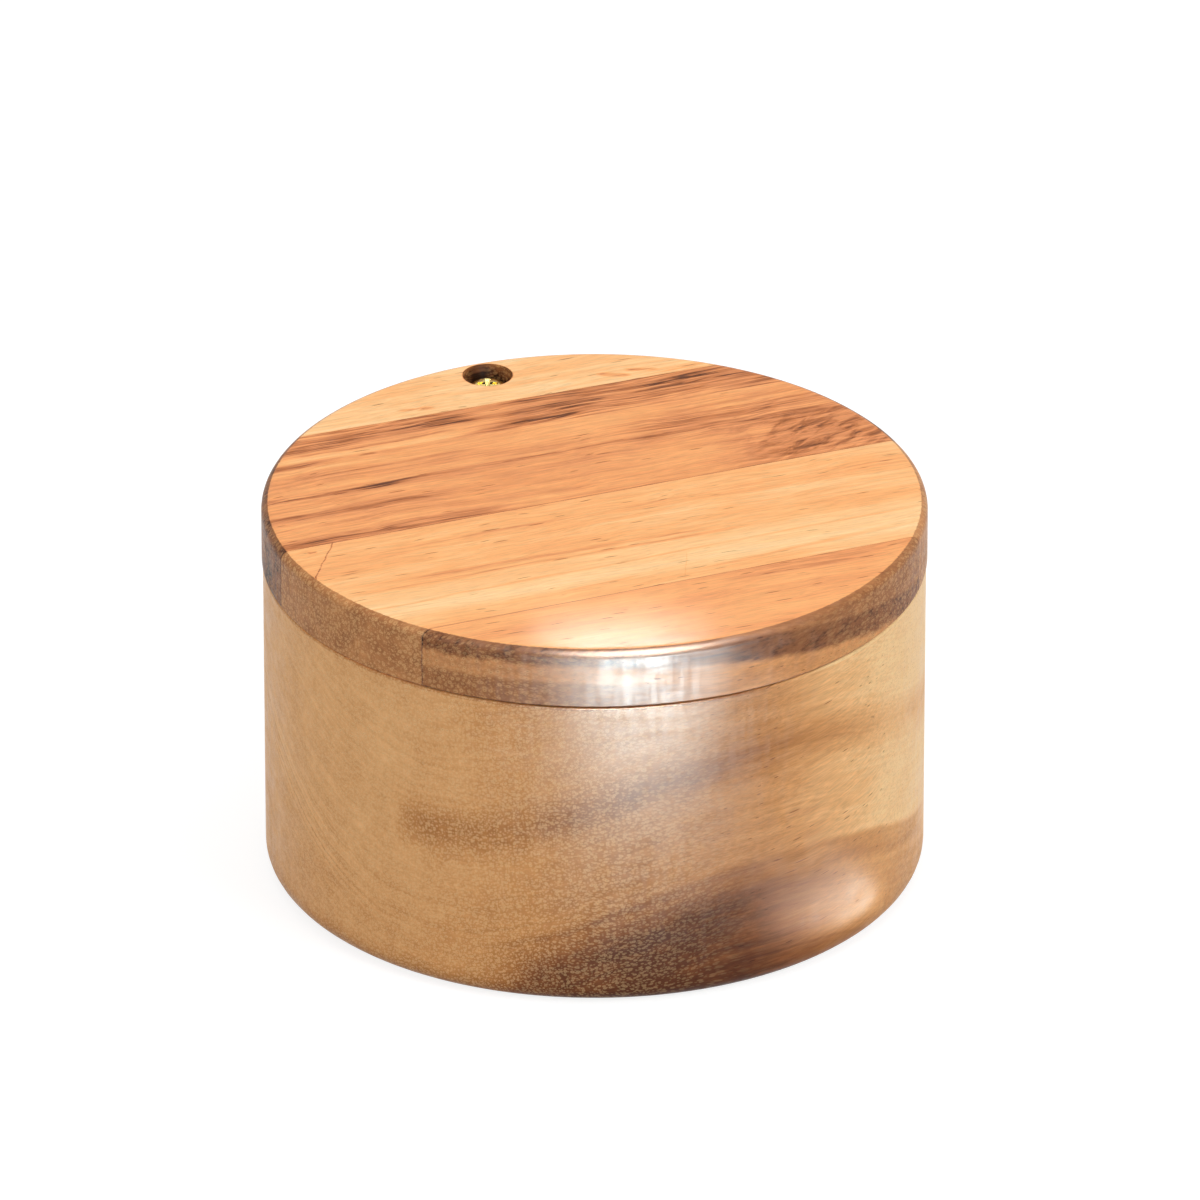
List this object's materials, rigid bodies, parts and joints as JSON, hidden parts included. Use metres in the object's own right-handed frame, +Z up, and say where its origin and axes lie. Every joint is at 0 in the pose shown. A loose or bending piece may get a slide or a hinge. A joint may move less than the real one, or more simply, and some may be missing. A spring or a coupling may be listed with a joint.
{
  "type": "salt box with swivel lid",
  "caption": "Round turned wooden salt box with a straight well and a flat staved lid that swivels aside on a brass screw near its edge.",
  "frame": {"origin": "centre of the flat foot, on the surface the box stands on", "axes": "+Z up along the turning axis; +X along the lid's staves; +Y from the centre towards the pivot screw, so the thumb side of the lid is at -Y"},
  "size_m": [0.11, 0.11, 0.0653],
  "materials": {
    "body_wood": "golden brown hardwood under satin clear lacquer",
    "hinge_stave_wood": "pale honey hardwood under satin clear lacquer",
    "dark_stave_wood": "red-brown streaked hardwood under satin clear lacquer",
    "pale_stave_wood": "honey hardwood under satin clear lacquer",
    "thumb_stave_wood": "orange-brown hardwood under satin clear lacquer",
    "brass": "bright machined brass",
    "glide_plastic": "natural nylon",
    "magnet_nickel": "nickel plating"
  },
  "bodies": {
    "box": {"box_body": "body_wood", "pivot_screw": "brass", "head_washer": "brass", "glide_washer": "glide_plastic", "rim_magnet": "magnet_nickel"},
    "lid": {"lid_stave_hinge": "hinge_stave_wood", "lid_stave_dark": "dark_stave_wood", "lid_stave_pale": "pale_stave_wood", "lid_stave_thumb": "thumb_stave_wood", "lid_magnet": "magnet_nickel"}
  },
  "joints": [
    {"name": "lid_swivel", "type": "hinge", "parent": "box", "child": "lid", "pos_m": [0, 0.0493, 0.0551], "axis": [0, 0, 1], "continuous": true}
  ]
}
